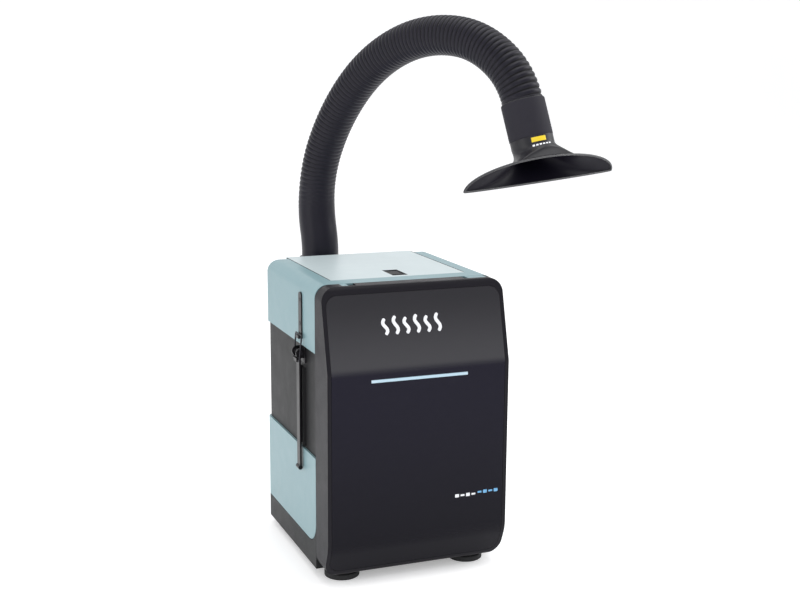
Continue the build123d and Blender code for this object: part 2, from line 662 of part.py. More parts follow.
def hose_elbow():
    start_y = REAR_Y + 4
    bend_y = ARM_Y - ELBOW_R
    low = bar_y(ARM_X, start_y, bend_y, PORT_Z, DUCT_R)
    low -= bar_y(ARM_X, start_y - 1, bend_y + 1, PORT_Z, DUCT_BORE_R)
    section = Plane((ARM_X, bend_y, PORT_Z), x_dir=(1, 0, 0), z_dir=(0, 1, 0)) * (
        Circle(DUCT_R) - Circle(DUCT_BORE_R)
    )
    mid = (ARM_X, bend_y + ELBOW_R * sin(pi / 4), PORT_Z + ELBOW_R * (1 - cos(pi / 4)))
    bend = sweep(section, path=ThreePointArc((ARM_X, bend_y, PORT_Z), mid, (ARM_X, ARM_Y, PORT_Z + ELBOW_R)))
    tip = upright(ARM_X, ARM_Y, PORT_Z + ELBOW_R, CUFF_Z, DUCT_R)
    tip -= upright(ARM_X, ARM_Y, 400, 500, DUCT_BORE_R)
    return low + bend + tip


def swivel_collar():
    """Ring that turns on the elbow's rim and grips the cuff above it."""
    ring = upright(ARM_X, ARM_Y, CUFF_Z - 5.5, CUFF_Z + 8, 36.5)
    ring -= upright(ARM_X, ARM_Y, CUFF_Z - 6, CUFF_Z + 0.1, DUCT_R + 0.06)
    return ring - upright(ARM_X, ARM_Y, CUFF_Z, CUFF_Z + 9, CUFF_R + 0.02)


def lower_cuff():
    top = CUFF_Z + ARM_RISE
    cuff = upright(ARM_X, ARM_Y, CUFF_Z + 0.1, top, CUFF_R)
    cuff -= upright(ARM_X, ARM_Y, CUFF_Z, top + 1, HOSE_BORE_R)
    cuff += arc_tube(0, 0, ARM_ARCS[0][0], CUFF_R, HOSE_BORE_R)
    return cuff + arc_tube(1, 0, CUFF_ARC, CUFF_R, HOSE_BORE_R)


def hose_span(index):
    """Stiff stretch of hose along one arc, between two bends."""
    length = ARM_ARCS[index][0]
    start = CUFF_ARC if index == 1 else BEND_HALF
    stop = length if index == len(ARM_ARCS) - 1 else length - BEND_HALF
    return arc_tube(index, start, stop, HOSE_R, HOSE_BORE_R)


def hose_bend(index):
    """Soft folds at the meeting of two arcs, where the arm flexes."""
    length = ARM_ARCS[index][0]
    before = arc_tube(index, length - BEND_HALF, length, HOSE_R - 0.6, HOSE_BORE_R + 0.4)
    after = arc_tube(index + 1, 0, BEND_HALF, HOSE_R - 0.6, HOSE_BORE_R + 0.4)
    return before + after


# ---------------------------------------------------------------- nozzle
def nozzle_plane(along):
    """Plane across the nozzle's axis; its X runs along the wide side of the mouth."""
    end, angle = arm_state(len(ARM_ARCS) - 1, ARM_ARCS[-1][0])
    axis = heading(angle)
    wide = Vector(axis.cross(heading(angle + 90)))
    return Plane(end + axis * along, x_dir=wide, z_dir=axis) * Rot(0, 0, NOZZLE_TURN)


def axial_tube(start, stop, r_out, r_in):
    ring = nozzle_plane(start) * (Circle(r_out) - Circle(r_in))
    return extrude(ring, amount=stop - start)


def nozzle_spigot():
    """Stepped sleeve: its root sits in the hose, the nozzle turns on the rest."""
    root = axial_tube(-SPIGOT_ROOT, 0, HOSE_BORE_R - 0.35, SPIGOT_BORE_R)
    return root + axial_tube(0, SPIGOT_LEN, SPIGOT_R, SPIGOT_BORE_R)


def mouth_section(step, inset, over):
    """Ellipse across the funnel, which widens, tips and moves forward towards the mouth."""
    reach = sin(step * pi / 2)
    swell = 1 - cos(step * pi / 2) ** 1.2
    level = nozzle_plane(NECK_LEN + (MOUTH_AT - NECK_LEN) * reach + (over if step == 1.0 else 0))
    tipped = level * Pos(0, -MOUTH_FORWARD * reach, 0) * Rot(MOUTH_TILT * reach, 0, 0)
    half_w = NOZZLE_R + (MOUTH_HALF_W - NOZZLE_R) * swell
    half_d = NOZZLE_R + (MOUTH_HALF_D - NOZZLE_R) * swell
    return tipped * Ellipse(half_w - inset + 0.01, half_d - inset)


def nozzle():
    """Round neck that turns on the spigot, opening into the wide tilted mouth."""
    top = nozzle_plane(1.3) * Ellipse(NOZZLE_R + 0.01, NOZZLE_R)
    outside = loft([top] + [mouth_section(step, 0, 0) for step in FUNNEL_STEPS], ruled=True)
    throat = nozzle_plane(SPIGOT_LEN + 6) * Ellipse(NOZZLE_R - NOZZLE_WALL + 0.01, NOZZLE_R - NOZZLE_WALL)
    inside = loft([throat] + [mouth_section(step, NOZZLE_WALL, 1.5) for step in FUNNEL_STEPS], ruled=True)
    bore = extrude(nozzle_plane(0) * Circle(NOZZLE_BORE_R), amount=SPIGOT_LEN + 1)
    shoulder = extrude(nozzle_plane(SPIGOT_LEN) * Circle(NOZZLE_BORE_R - 2.5), amount=7)
    return outside - bore - shoulder - inside


# ---------------------------------------------------------------- the nodes
NODES = {
    "base_tray": base_tray(),
    "rubber_feet": rubber_feet(),
    "foot_screws": foot_screws(),
    "lower_housing": lower_housing(),
    "lower_wrap": lower_wrap(),
    "exhaust_grille": exhaust_grille(),
    "mains_inlet": mains_inlet(),
    "switch_bezel": switch_bezel(),
    "power_rocker": power_rocker(),
    "case_screws": case_screws(),
    "blower_housing": blower_housing(),
    "blower_cover": blower_cover(),
    "impeller": impeller(),
    "motor_shaft": motor_shaft(),
    "blower_motor": blower_motor(),
    "motor_grommets": motor_grommets(),
    "control_board": control_board(),
    "filter_housing": filter_housing(),
    "filter_gasket": filter_gasket(),
    "filter_case": filter_case(),
    "carbon_bed": carbon_bed(),
    "hepa_pleats": hepa_pleats(),
    "prefilter_mat": prefilter_mat(),
    "upper_hood": upper_hood(),
    "hood_gasket": hood_gasket(),
    "lid": lid(),
    "lid_hinge_leaves": lid_hinge_leaves(),
    "lid_hinge_pins": lid_hinge_pins(),
    "lid_pull_well": lid_pull_well(),
    "lid_pull_flap": lid_pull_flap(),
    "lid_flap_pin": lid_flap_pin(),
    "fascia_frame": fascia_frame(),
    "front_panel": front_panel(),
    "light_guide": light_guide(),
    "led_board": led_board(),
    "hose_port": hose_port(),
    "hose_elbow": hose_elbow(),
    "swivel_collar": swivel_collar(),
    "lower_cuff": lower_cuff(),
    "nozzle_spigot": nozzle_spigot(),
    "nozzle": nozzle(),
    "latch_straps": latch_straps(),
    "latch_brackets": latch_brackets(),
    "latch_pins": latch_pins(),
}

for name, side in (("left", -1), ("right", 1)):
    NODES[f"{name}_latch_lever"] = latch_lever(side)
    NODES[f"{name}_latch_bail"] = latch_bail(side)

for index in range(1, len(ARM_ARCS)):
    NODES[f"hose_span_{index}"] = hose_span(index)
for index in range(1, len(ARM_ARCS) - 1):
    NODES[f"hose_bend_{index}"] = hose_bend(index)

os.makedirs("parts", exist_ok=True)
for name, shape in NODES.items():
    export_step(shape, f"parts/{name}.step")
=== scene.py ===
import json
from math import pi, radians
import bmesh
import bpy
import numpy as np
from mathutils import Matrix, Vector


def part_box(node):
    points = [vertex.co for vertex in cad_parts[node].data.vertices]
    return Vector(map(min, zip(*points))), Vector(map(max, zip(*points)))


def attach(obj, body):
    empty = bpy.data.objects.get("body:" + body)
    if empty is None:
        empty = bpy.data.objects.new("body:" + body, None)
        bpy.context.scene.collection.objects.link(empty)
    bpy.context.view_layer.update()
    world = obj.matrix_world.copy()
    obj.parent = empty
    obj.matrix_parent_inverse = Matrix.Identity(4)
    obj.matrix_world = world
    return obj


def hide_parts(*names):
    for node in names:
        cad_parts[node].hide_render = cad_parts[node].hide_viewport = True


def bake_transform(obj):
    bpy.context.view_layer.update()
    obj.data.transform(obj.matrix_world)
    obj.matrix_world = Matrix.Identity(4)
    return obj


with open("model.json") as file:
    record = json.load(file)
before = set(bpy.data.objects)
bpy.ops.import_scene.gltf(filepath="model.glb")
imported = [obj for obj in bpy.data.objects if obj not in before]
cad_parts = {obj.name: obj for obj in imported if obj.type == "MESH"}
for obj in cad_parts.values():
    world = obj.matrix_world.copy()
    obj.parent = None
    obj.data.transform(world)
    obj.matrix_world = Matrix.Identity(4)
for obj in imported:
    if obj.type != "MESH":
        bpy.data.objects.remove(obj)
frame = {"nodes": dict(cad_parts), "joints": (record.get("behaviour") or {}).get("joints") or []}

# A bench solder fume extractor: teal and black filter housing, side draw latches, light bar,
# and a posable ribbed suction hose with a wide fishtail nozzle. Metres, +Z up, front towards -Y.
NODES = frame["nodes"]
JOINTS = {joint["name"]: joint for joint in frame["joints"]}
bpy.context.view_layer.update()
MM = 0.001


# ---------------------------------------------------------------- meshes worked out as arrays
def grid_faces(rows, cols, ring_rows=False, ring_cols=False):
    """Quads between neighbours of a rows x cols grid; a ring joins the last line to the first."""
    row = np.arange(rows if ring_rows else rows - 1)[:, None]
    col = np.arange(cols if ring_cols else cols - 1)[None, :]
    next_row = (row + 1) % rows
    next_col = (col + 1) % cols
    corners = (
        row * cols + col,
        row * cols + next_col,
        next_row * cols + next_col,
        next_row * cols + col,
    )
    return np.stack([np.broadcast_to(c, (row.size, col.size)) for c in corners], -1).reshape(-1, 4)


def facing_out(points, faces):
    """The faces, turned round if the closed surface's signed volume is negative."""
    p = points[faces]
    volume = np.einsum("ij,ij->", p[:, 0], np.cross(p[:, 1], p[:, 2]))
    volume += np.einsum("ij,ij->", p[:, 0], np.cross(p[:, 2], p[:, 3]))
    return faces if volume > 0 else faces[:, ::-1]


def surface(
    name, grids, finish, ring_rows=True, ring_cols=True, weld=False, inner_finish=None, inner_from=0
):
    """One piece from one or more closed grids; an inner finish is a second material from a row
    onwards.
    """
    points = []
    faces = []
    count = 0
    for grid in grids:
        rows, cols = grid.shape[:2]
        flat = grid.reshape(-1, 3)
        points.append(flat)
        faces.append(facing_out(flat, grid_faces(rows, cols, ring_rows, ring_cols)) + count)
        count += len(flat)
    mesh = bpy.data.meshes.new(name)
    mesh.from_pydata(np.concatenate(points).tolist(), [], np.concatenate(faces).tolist())
    if weld:
        work = bmesh.new()
        work.from_mesh(mesh)
        bmesh.ops.remove_doubles(work, verts=work.verts, dist=1e-7)
        bmesh.ops.dissolve_degenerate(work, edges=work.edges, dist=1e-8)
        work.to_mesh(mesh)
        work.free()
    mesh.polygons.foreach_set("use_smooth", np.ones(len(mesh.polygons), bool))
    mesh.materials.append(finish)
    if inner_finish:
        mesh.materials.append(inner_finish)
        inner_faces = np.arange(len(mesh.polygons)) // grids[0].shape[1] >= inner_from
        mesh.polygons.foreach_set("material_index", inner_faces.astype(np.int32))
    piece = bpy.data.objects.new(name, mesh)
    bpy.context.scene.collection.objects.link(piece)
    return piece


def refined(node, finish, width, body, segments=3, flat=1.5):
    """A CAD node with its triangles merged into flat faces and its hard edges rounded."""
    source = NODES[node].data
    count = len(source.vertices)
    points = np.empty(count * 3, np.float32)
    source.vertices.foreach_get("co", points)
    corners = np.empty(len(source.loops), np.int32)
    source.loops.foreach_get("vertex_index", corners)
    mesh = bpy.data.meshes.new(node + "_finished")
    mesh.from_pydata(points.reshape(-1, 3).tolist(), [], corners.reshape(-1, 3).tolist())
    work = bmesh.new()
    work.from_mesh(mesh)
    bmesh.ops.remove_doubles(work, verts=work.verts, dist=2e-6)
    bmesh.ops.dissolve_limit(work, angle_limit=radians(flat), verts=work.verts, edges=work.edges)
    work.to_mesh(mesh)
    work.free()
    mesh.polygons.foreach_set("use_smooth", np.ones(len(mesh.polygons), bool))
    mesh.materials.append(finish)
    piece = bpy.data.objects.new(node + "_finished", mesh)
    bpy.context.scene.collection.objects.link(piece)
    bevel = piece.modifiers.new("edges", "BEVEL")
    bevel.width = width
    bevel.segments = segments
    bevel.limit_method = "ANGLE"
    bevel.angle_limit = radians(28)
    bevel.harden_normals = True
    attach(piece, body)
    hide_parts(node)
    return piece


# ---------------------------------------------------------------- shader sums
class Signal:
    """A shader socket that can be used in sums; numbers stay numbers until they meet one."""

    def __init__(self, finish, socket):
        self.finish = finish
        self.socket = socket

    def combine(self, operation, first, second):
        return self.finish.node("ShaderNodeMath", {"operation": operation}, {0: first, 1: second})

    def __add__(self, other):
        return self.combine("ADD", self, other)

    def __radd__(self, other):
        return self.combine("ADD", other, self)

    def __sub__(self, other):
        return self.combine("SUBTRACT", self, other)

    def __rsub__(self, other):
        return self.combine("SUBTRACT", other, self)

    def __mul__(self, other):
        return self.combine("MULTIPLY", self, other)

    def __rmul__(self, other):
        return self.combine("MULTIPLY", other, self)

    def __pow__(self, other):
        return self.combine("POWER", self, other)

    def between(self, low, high):
        """0 below low, 1 above high, and smooth between them."""
        settings = {"interpolation_type": "SMOOTHSTEP", "clamp": True}
        sockets = {"Value": self, "From Min": low, "From Max": high}
        return self.finish.node("ShaderNodeMapRange", settings, sockets)


class Finish:
    """A material: one Principled shader, and the nodes that vary it over the surface."""

    def __init__(self, name, **constants):
        self.material = bpy.data.materials.new(name)
        self.material.use_nodes = True
        self.tree = self.material.node_tree
        self.tree.nodes.clear()
        self.shader = self.tree.nodes.new("ShaderNodeBsdfPrincipled")
        output = self.tree.nodes.new("ShaderNodeOutputMaterial")
        self.tree.links.new(self.shader.outputs[0], output.inputs[0])
        for socket, value in constants.items():
            self.shader.inputs[socket.replace("_", " ")].default_value = value
        self.place = self.node("ShaderNodeTexCoord", {}, {}, "Object")

    def node(self, kind, settings, sockets, output=0):
        """A node of a kind: its settings first, then the values or links of its sockets."""
        made = self.tree.nodes.new(kind)
        for setting, value in settings.items():
            setattr(made, setting, value)
        for socket, value in sockets.items():
            if isinstance(value, Signal):
                self.tree.links.new(value.socket, made.inputs[socket])
            else:
                made.inputs[socket].default_value = value
        return Signal(self, made.outputs[output])

    def noise(self, scale, detail=2.0, roughness=0.5, place=None):
        """Cloudy pattern, with a number of waves to the metre."""
        sockets = {"Vector": place or self.place, "Scale": scale, "Detail": detail}
        sockets["Roughness"] = roughness
        return self.node("ShaderNodeTexNoise", {}, sockets)

    def cells(self, scale):
        """Distance to the nearest of many scattered points."""
        return self.node("ShaderNodeTexVoronoi", {}, {"Vector": self.place, "Scale": scale})

    def stretched(self, scale):
        """The place with each axis scaled, which draws a pattern out along the small ones."""
        return self.node("ShaderNodeMapping", {}, {"Vector": self.place, "Scale": scale})

    def axis(self, letter):
        """Height, width or depth in the object's frame."""
        return self.node("ShaderNodeSeparateXYZ", {}, {0: self.place}, letter)

    def mixed(self, share, first, second):
        """One colour going over into another as share goes from 0 to 1."""
        colours = {6: self.colour(first), 7: self.colour(second), 0: share}
        return self.node("ShaderNodeMix", {"data_type": "RGBA"}, colours, 2)

    def colour(self, value):
        return value if isinstance(value, Signal) else (*value, 1.0)

    def put(self, socket, signal):
        self.tree.links.new(signal.socket, self.shader.inputs[socket])

    def bump(self, height, distance, strength=1.0):
        sockets = {"Height": height, "Distance": distance, "Strength": strength}
        self.put("Normal", self.node("ShaderNodeBump", {}, sockets))


def moulded(name, colour, roughness, grain=0.00004, spread=0.12, **constants):
    """Moulded plastic: spark-eroded grain, slow patches of tone, and a slightly uneven sheen."""
    finish = Finish(name, **constants)
    patches = finish.noise(14.0, 3.0)
    fine = finish.noise(1500.0, 2.0)
    darker = [c * (1 - spread) for c in colour]
    lighter = [c * (1 + spread) for c in colour]
    finish.put("Base Color", finish.mixed(patches * 0.6 + fine * 0.4, darker, lighter))
    finish.put("Roughness", finish.noise(40.0, 4.0) * 0.14 + (roughness - 0.07))
    finish.bump(fine + finish.cells(2600.0) * 0.6, grain)
    return finish.material


def front_gloss():
    """Inlaid front: satin on the upper slope, polished below the ridge; its base colour carries
    painted reflection, lighter on the upper slope and graded with height above and below the ridge.
    """
    finish = Finish("front_gloss", Specular_IOR_Level=0.13)
    height = finish.axis("Z")
    slope = height.between(RIDGE_Z - 6 * MM, RIDGE_Z + 8 * MM)
    upper_reflection_fade = height.between(RIDGE_Z, PANEL_TOP_Z)
    fine = finish.noise(1700.0)
    # Painted reflection: the upper slope's base colour is lighter than the front below the ridge,
    # and lightest just above the ridge.
    satin = finish.mixed(upper_reflection_fade, (0.052, 0.051, 0.056), (0.026, 0.025, 0.029))
    # Painted reflection: below the ridge the base colour grows lighter from the foot up to the
    # ridge.
    rise = height.between(0.02, RIDGE_Z)
    polished = finish.mixed(rise, (0.0035, 0.0030, 0.0065), (0.0080, 0.0070, 0.0160))
    finish.put("Base Color", finish.mixed(slope, polished, satin))
    smears = finish.noise(9.0, 5.0, 0.65)
    finish.put("Roughness", slope * 0.30 + smears * 0.08 + 0.16)
    finish.bump(fine * slope + finish.noise(25.0) * 2.0, 0.000012)
    return finish.material


def hose_vinyl():
    """Satin flexible hose: violet black, dusty in patches, with painted shade darkening the grooves.
    """
    finish = Finish("hose_vinyl", Specular_IOR_Level=0.24)
    dust = finish.noise(22.0, 5.0, 0.6)
    fine = finish.noise(900.0, 3.0)
    crest = finish.node("ShaderNodeAttribute", {"attribute_name": "crest"}, {}, 2)
    wear = dust * 0.7 + fine * 0.3
    vinyl = finish.mixed(wear, (0.0042, 0.0035, 0.0085), (0.0090, 0.0078, 0.0160))
    shade = (0.0012, 0.0011, 0.0018)
    # Painted shade: the base colour sinks to near black down in the grooves, following the crest
    # attribute.
    finish.put("Base Color", finish.mixed(crest.between(0.15, 0.8), shade, vinyl))
    finish.put("Roughness", dust * 0.14 + 0.30 + (1.0 - crest) * 0.3)
    finish.bump(fine, 0.00005)
    return finish.material


def soft_rubber(name, colour):
    """Moulded rubber: matt, with a soft grain and a grey bloom."""
    finish = Finish(name, Specular_IOR_Level=0.3)
    bloom = finish.noise(60.0, 5.0, 0.7)
    finish.put("Base Color", finish.mixed(bloom, colour, [c * 1.7 + 0.002 for c in colour]))
    finish.put("Roughness", bloom * 0.2 + 0.62)
    finish.bump(finish.noise(1300.0, 3.0), 0.00006)
    return finish.material


def metal(name, colour, roughness, stretch):
    """Plated or turned metal: fine lines drawn out along one direction, and faint spots."""
    finish = Finish(name, Metallic=1.0)
    lines = finish.noise(900.0, 3.0, 0.6, finish.stretched(stretch))
    spots = finish.noise(180.0, 4.0)
    finish.put("Base Color", finish.mixed(spots, [c * 0.82 for c in colour], colour))
    finish.put("Roughness", lines * 0.16 + spots * 0.08 + (roughness - 0.1))
    finish.bump(lines, 0.00001)
    return finish.material


def light_bar():
    """Frosted guide, lit from behind by a row of lamps, a little brighter near its ends."""
    pale = (0.40, 0.53, 0.62, 1.0)
    finish = Finish("light_bar", Base_Color=pale, Emission_Strength=0.16, Roughness=0.35)
    x = finish.axis("X")
    ends = (x * x * (1.0 / LIGHT_HALF_W ** 2)).between(0.55, 1.0)
    finish.put("Emission Color", finish.mixed(ends, (0.42, 0.68, 0.78), (0.80, 0.93, 1.0)))
    finish.bump(finish.noise(2200.0), 0.00002)
    return finish.material


def printed(name, colour):
    """Screen-printed ink: nearly even, with a faint mottle and a satin surface."""
    finish = Finish(name)
    mottle = finish.noise(1200.0, 3.0)
    finish.put("Base Color", finish.mixed(mottle, [c * 0.93 for c in colour], colour))
    finish.put("Roughness", mottle * 0.1 + 0.38)
    finish.bump(mottle, 0.00001)
    return finish.material


def granules():
    """Bed of activated carbon pellets."""
    finish = Finish("carbon_granules")
    pellets = finish.cells(320.0)
    finish.put("Base Color", finish.mixed(pellets, (0.03, 0.03, 0.032), (0.008, 0.008, 0.009)))
    finish.put("Roughness", pellets * 0.3 + 0.55)
    finish.bump(1.0 - pellets, 0.0012)
    return finish.material


def fleece():
    """Needled filter fleece: crossing fibres and small punched dimples."""
    finish = Finish("filter_fleece", Sheen_Weight=0.35, Sheen_Roughness=0.5)
    one_way = finish.noise(1400.0, 4.0, 0.7, finish.stretched((1.0, 0.12, 1.0)))
    other_way = finish.noise(1400.0, 4.0, 0.7, finish.stretched((0.12, 1.0, 1.0)))
    fibres = one_way * 0.5 + other_way * 0.5
    clumps = finish.noise(90.0, 4.0)
    felt = fibres * 0.6 + clumps * 0.4
    finish.put("Base Color", finish.mixed(felt, (0.50, 0.53, 0.52), (0.86, 0.88, 0.86)))
    finish.put("Roughness", fibres * 0.1 + 0.86)
    finish.bump(fibres + clumps, 0.0007)
    return finish.material


def board():
    """Circuit board: green solder mask with a weave of copper tracks under it."""
    finish = Finish("circuit_board")
    weave = {"Vector": finish.place, "Scale": 160.0, "Mortar Size": 0.012}
    tracks = finish.node("ShaderNodeTexBrick", {}, weave, 1)
    finish.put("Base Color", finish.mixed(tracks, (0.012, 0.11, 0.045), (0.02, 0.20, 0.08)))
    finish.put("Roughness", finish.noise(300.0) * 0.1 + 0.27)
    finish.bump(tracks, 0.00003)
    return finish.material


# ---------------------------------------------------------------- sizes read from the frame
panel_low, panel_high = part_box("front_panel")
fascia_low, fascia_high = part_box("fascia_frame")
PANEL_TOP_Z = panel_high.z
LIGHT_HALF_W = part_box("light_guide")[1].x
TOP_Z = fascia_high.z
RIDGE_Z = 343.0 * MM
RIDGE_Y = fascia_low.y
SLOPE_TOP_Y = -151.4 * MM
PANEL_FOOT_Z = 66.0 * MM
PANEL_LEAN = 1.0 * MM

TEAL = moulded("teal_shell", (0.200, 0.320, 0.348), 0.42, spread=0.05)
# Painted light: the lid is a paler copy of the shell's teal, standing in for the top light falling
# on it.
TEAL_TOP_LIT_LID = moulded("teal_lid_painted_top_light", (0.500, 0.575, 0.590), 0.38, spread=0.04)
BLACK = moulded("black_shell", (0.019, 0.019, 0.020), 0.46, 0.00007, Specular_IOR_Level=0.10)
RIM = moulded("black_rim", (0.0135, 0.0125, 0.0160), 0.38, 0.00005, Specular_IOR_Level=0.09)
LATCH_BLACK = moulded(
    "latch_black", (0.0075, 0.0068, 0.0085), 0.32, 0.00003, Specular_IOR_Level=0.25
)
DARK = moulded("duct_black", (0.030, 0.030, 0.032), 0.48, 0.00006)
LIP = moulded("nozzle_lip", (0.036, 0.036, 0.040), 0.26, 0.00002)
NOZZLE = moulded("nozzle_black", (0.0125, 0.0120, 0.0155), 0.38, 0.00004, Specular_IOR_Level=0.32)
# Painted shade: the nozzle's inside is a darker, less shiny copy of its black, standing in for the
# shade within the mouth.
NOZZLE_INSIDE_SHADE = moulded(
    "nozzle_inside_painted_shade", (0.0050, 0.0042, 0.0090), 0.42, 0.00002, Specular_IOR_Level=0.10
)
FAN = moulded("fan_nylon", (0.070, 0.070, 0.075), 0.45, 0.00005)
CARD = moulded("filter_card", (0.50, 0.49, 0.46), 0.75, 0.00008)
PAPER = moulded("filter_paper", (0.80, 0.79, 0.74), 0.85, 0.0001, 0.06)
GLOSS = front_gloss()
HOSE = hose_vinyl()
CUFF = soft_rubber("cuff_rubber", (0.0115, 0.0105, 0.0160))
RUBBER = soft_rubber("foot_rubber", (0.018, 0.018, 0.019))
STEEL = metal("zinc_steel", (0.62, 0.62, 0.63), 0.34, (1.0, 1.0, 0.08))
BLACK_STEEL = metal("black_steel", (0.050, 0.048, 0.055), 0.38, (1.0, 1.0, 0.08))
ALLOY = metal("motor_alloy", (0.60, 0.60, 0.62), 0.42, (0.08, 0.08, 1.0))
LIGHT = light_bar()
WHITE_INK = printed("white_ink", (0.86, 0.87, 0.90))
BLUE_INK = printed("pale_blue_ink", (0.16, 0.42, 0.70))
YELLOW_INK = printed("yellow_ink", (0.85, 0.62, 0.02))
CARBON = granules()
FLEECE = fleece()
BOARD = board()

# ---------------------------------------------------------------- housing shells, refined from CAD
for node, finish, width, body, slot in (
    ("lower_wrap", TEAL, 1.0 * MM, "housing", "teal_plastic"),
    ("upper_hood", TEAL, 1.0 * MM, "housing", "teal_plastic"),
    ("lid", TEAL_TOP_LIT_LID, 0.8 * MM, "lid", "teal_plastic"),
    ("filter_housing", BLACK, 0.9 * MM, "housing", "black_plastic"),
    ("base_tray", BLACK, 1.0 * MM, "housing", "black_plastic"),
    ("fascia_frame", RIM, 0.9 * MM, "housing", "black_plastic"),
    ("front_panel", GLOSS, 0.35 * MM, "housing", "gloss_black"),
    ("light_guide", LIGHT, 0.8 * MM, "housing", "light_lens"),
    ("lid_pull_well", LATCH_BLACK, 0.3 * MM, "lid", "black_plastic"),
    ("lid_pull_flap", BLACK, 0.25 * MM, "lid_flap", "black_plastic"),
    ("latch_straps", LATCH_BLACK, 0.5 * MM, "housing", "black_plastic"),
    ("latch_brackets", LATCH_BLACK, 0.4 * MM, "housing", "black_plastic"),
    ("left_latch_lever", LATCH_BLACK, 0.7 * MM, "left_lever", "black_plastic"),
    ("right_latch_lever", LATCH_BLACK, 0.7 * MM, "right_lever", "black_plastic"),
    ("exhaust_grille", BLACK, 0.4 * MM, "housing", "black_plastic"),
    ("mains_inlet", LATCH_BLACK, 0.4 * MM, "housing", "black_plastic"),
    ("switch_bezel", LATCH_BLACK, 0.4 * MM, "housing", "black_plastic"),
    ("power_rocker", LATCH_BLACK, 0.4 * MM, "rocker", "black_plastic"),
    ("hose_port", DARK, 0.6 * MM, "housing", "black_plastic"),
    ("swivel_collar", DARK, 0.9 * MM, "arm_1", "black_plastic"),
):
    refined(node, finish, width, body)

KEPT_FINISH = {
    "lower_housing": DARK,
    "blower_housing": DARK,
    "blower_cover": DARK,
    "hose_elbow": DARK,
    "nozzle_spigot": DARK,
    "impeller": FAN,
    "filter_case": CARD,
    "hepa_pleats": PAPER,
    "carbon_bed": CARBON,
    "control_board": BOARD,
    "led_board": BOARD,
    "motor_grommets": RUBBER,
    "filter_gasket": RUBBER,
    "hood_gasket": RUBBER,
    "blower_motor": ALLOY,
    "foot_screws": STEEL,
    "case_screws": STEEL,
    "lid_hinge_leaves": STEEL,
    "lid_hinge_pins": STEEL,
    "lid_flap_pin": STEEL,
    "latch_pins": BLACK_STEEL,
    "left_latch_bail": BLACK_STEEL,
    "right_latch_bail": BLACK_STEEL,
    "motor_shaft": STEEL,
}
for node, finish in KEPT_FINISH.items():
    for place in NODES[node].material_slots:
        place.material = finish

# ---------------------------------------------------------------- feet
def turned(profile, centre, sides=72):
    """A closed outline of (radius, height) points turned about an upright axis."""
    radius, height = np.array(profile).T
    turn = np.linspace(0, 2 * pi, sides, endpoint=False)[:, None]
    x = centre[0] + radius * np.cos(turn)
    y = centre[1] + radius * np.sin(turn)
    return np.stack([x, y, np.broadcast_to(height, x.shape)], -1)


def foot_outline():
    """Half section of a foot: flat sole, rounded edges, three grooves round the side, screw hole."""
    edge = np.linspace(0, pi / 2, 5)
    sole = [(26.5 + 1.5 * np.sin(a), 1.5 - 1.5 * np.cos(a)) for a in edge]
    height = np.linspace(1.8, 7.6, 24)
    side = [(28.0 - 0.45 * max(0.0, np.sin(h * 2 * pi / 1.9)) ** 2, h) for h in height]
    shoulder = [(26.6 + 1.4 * np.cos(a), 7.6 + 1.4 * np.sin(a)) for a in edge]
    neck = [(25.2, 9.2), (25.0, 9.6), (25.0, 14.6), (24.7, 15.0), (3.0, 15.0), (2.65, 14.6)]
    hole = [(2.65, 7.1), (5.9, 7.0), (6.0, 6.8), (6.0, 0.7), (6.7, 0.0)]
    return np.array(sole + side + shoulder + neck + hole) * MM


foot_low, foot_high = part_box("rubber_feet")
FOOT_R = 28.0 * MM
foot_places = [
    (x, y)
    for x in (foot_low.x + FOOT_R, foot_high.x - FOOT_R)
    for y in (foot_low.y + FOOT_R, foot_high.y - FOOT_R)
]
feet = surface("feet", [turned(foot_outline(), place) for place in foot_places], RUBBER)
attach(feet, "housing")
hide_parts("rubber_feet")

# ---------------------------------------------------------------- upper filter mat
def mat_grid(low, high, count=90):
    """Pad between two corners: half height (1 - u^14)^0.45 (1 - v^14)^0.45, quilted by cosines."""
    u, v = np.meshgrid(np.linspace(-1, 1, count), np.linspace(-1, 1, count), indexing="ij")
    edge = ((1 - u ** 14) * (1 - v ** 14)) ** 0.45
    quilt = 0.9 - 0.1 * np.cos(u * 9 * pi) * np.cos(v * 9 * pi)
    wave = 0.03 * np.sin(u * 23 + 3 * np.sin(v * 7)) * np.sin(v * 19 + 2 * u)
    half = (high.z - low.z) / 2 * edge * (quilt + wave)
    x = (low.x + high.x) / 2 + u * (high.x - low.x) / 2
    y = (low.y + high.y) / 2 + v * (high.y - low.y) / 2
    z = (low.z + high.z) / 2
    upper = np.stack([x, y, z + half], -1)
    lower = np.stack([x, y, z - half], -1)
    return np.concatenate([upper, lower[::-1]], 0)


mat = surface("filter_mat", [mat_grid(*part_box("prefilter_mat"))], FLEECE, True, False, weld=True)
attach(mat, "housing")
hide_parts("prefilter_mat")

# ---------------------------------------------------------------- line of the suction hose
ARM_ARCS = [
    (47.0, -10.6),
    (151.0, 35.4),
    (135.0, 21.2),
    (125.0, 25.1),
    (115.0, 26.4),
    (99.0, 33.1),
    (68.0, 31.0),
]
LENGTHS = np.array([length for length, turn in ARM_ARCS]) * MM
TURNS = np.radians([turn for length, turn in ARM_ARCS])
KNOTS = np.concatenate([[0.0], np.cumsum(LENGTHS)])
ARM_RISE = 10.0 * MM
CUFF_END = LENGTHS[0] + 82.0 * MM
CUFF_FROM = -9.8 * MM
HOSE_R = 31.5 * MM
HOSE_BORE_R = 28.6 * MM
CUFF_BORE_R = 29.0 * MM
SIDES = 96
ACROSS = np.array(JOINTS["arm_bend_1"]["axis"], float)
UP = np.array([0.0, 0.0, 1.0])
FORWARD = np.cross(ACROSS, UP)
ARM_START = np.array(JOINTS["arm_swivel"]["pos_m"], float) + ARM_RISE * UP


def heading(angle):
    """Unit vectors in the arm's plane: a quarter turn is straight up, zero is level and forwards."""
    return np.cos(angle)[..., None] * FORWARD + np.sin(angle)[..., None] * UP


